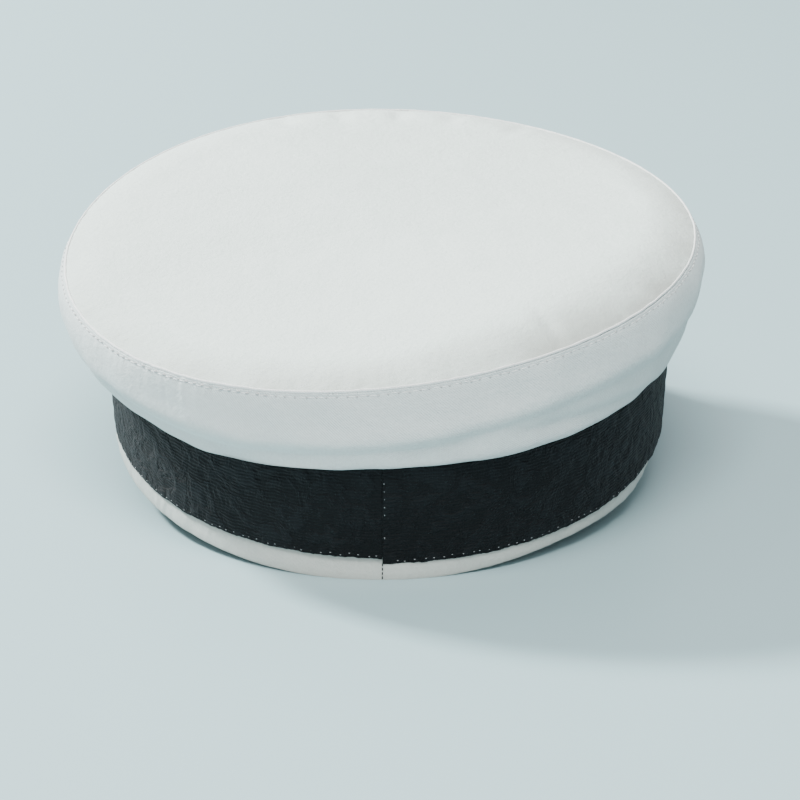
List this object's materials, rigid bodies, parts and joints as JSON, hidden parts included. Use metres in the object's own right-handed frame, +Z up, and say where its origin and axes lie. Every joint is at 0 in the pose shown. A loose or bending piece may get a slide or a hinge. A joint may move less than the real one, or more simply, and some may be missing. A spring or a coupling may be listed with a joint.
{
  "type": "military peaked cap",
  "caption": "Peaked cap with a flat oval crown, black band, glossy peak, chin strap on side buttons, sliding keepers and a plain badge; open underneath for the head.",
  "frame": {"origin": "on the surface the cap stands on, under the middle of the whole cap's footprint", "axes": "+Z up, the wearer looks along -Y, the wearer's left is +X"},
  "size_m": [0.2043, 0.2635, 0.089],
  "materials": {
    "white_cotton": "matt twill",
    "black_mohair": "ribbed braid",
    "canvas": "stiff interlining",
    "lining": "smooth lining",
    "ribbon": "woven ribbon",
    "clear_plastic": "clear film",
    "board": "fibre board",
    "steel": "spring steel",
    "brass": "plain brass",
    "gilt": "polished gilt",
    "leather": "smooth leather",
    "patent": "gloss patent leather",
    "peak_cloth": "embossed leathercloth"
  },
  "bodies": {
    "cap": {"crown_top": "white_cotton", "crown_side_rear": "white_cotton", "crown_side_front": "white_cotton", "rim_welt": "white_cotton", "crown_interlining": "canvas", "crown_hoop": "steel", "hoop_sleeve": "brass", "sweat_shield": "clear_plastic", "front_stay": "board", "cap_badge": "gilt", "badge_nut": "brass", "base_band": "white_cotton", "mohair_band": "black_mohair", "band_stiffener": "board", "sweatband": "leather", "sweatband_bow": "ribbon", "size_label": "ribbon", "peak_shell": "patent", "peak_lining": "peak_cloth", "peak_binding": "patent", "crown_lining_side": "lining", "crown_lining_top": "lining"},
    "chin_strap": {"chin_strap_left": "patent", "chin_strap_right": "patent"},
    "keeper_left": {"strap_keeper_left": "patent"},
    "keeper_right": {"strap_keeper_right": "patent"},
    "button_left": {"side_button_left": "gilt", "button_pin_left": "brass"},
    "button_right": {"side_button_right": "gilt", "button_pin_right": "brass"}
  },
  "joints": [
    {"name": "chin_strap_lift", "type": "hinge", "parent": "cap", "child": "chin_strap", "pos_m": [-0.0025, -0.02713, 0.0254], "axis": [-1, 0, 0], "range_deg": [0, 4]},
    {"name": "keeper_slide_left", "type": "hinge", "parent": "chin_strap", "child": "keeper_left", "pos_m": [-0.00396, -0.00617, 0.02249], "axis": [0, 0.1184, 0.993], "range_deg": [-6, 6]},
    {"name": "keeper_slide_right", "type": "hinge", "parent": "chin_strap", "child": "keeper_right", "pos_m": [-0.00104, -0.00617, 0.02249], "axis": [0, 0.1184, 0.993], "range_deg": [-6, 6]},
    {"name": "button_turn_left", "type": "hinge", "parent": "cap", "child": "button_left", "pos_m": [0.07742, -0.02713, 0.0254], "axis": [0.9227, -0.3854, -0.0094], "continuous": true},
    {"name": "button_turn_right", "type": "hinge", "parent": "cap", "child": "button_right", "pos_m": [-0.08242, -0.02713, 0.0254], "axis": [-0.9227, -0.3854, -0.0094], "continuous": true}
  ]
}
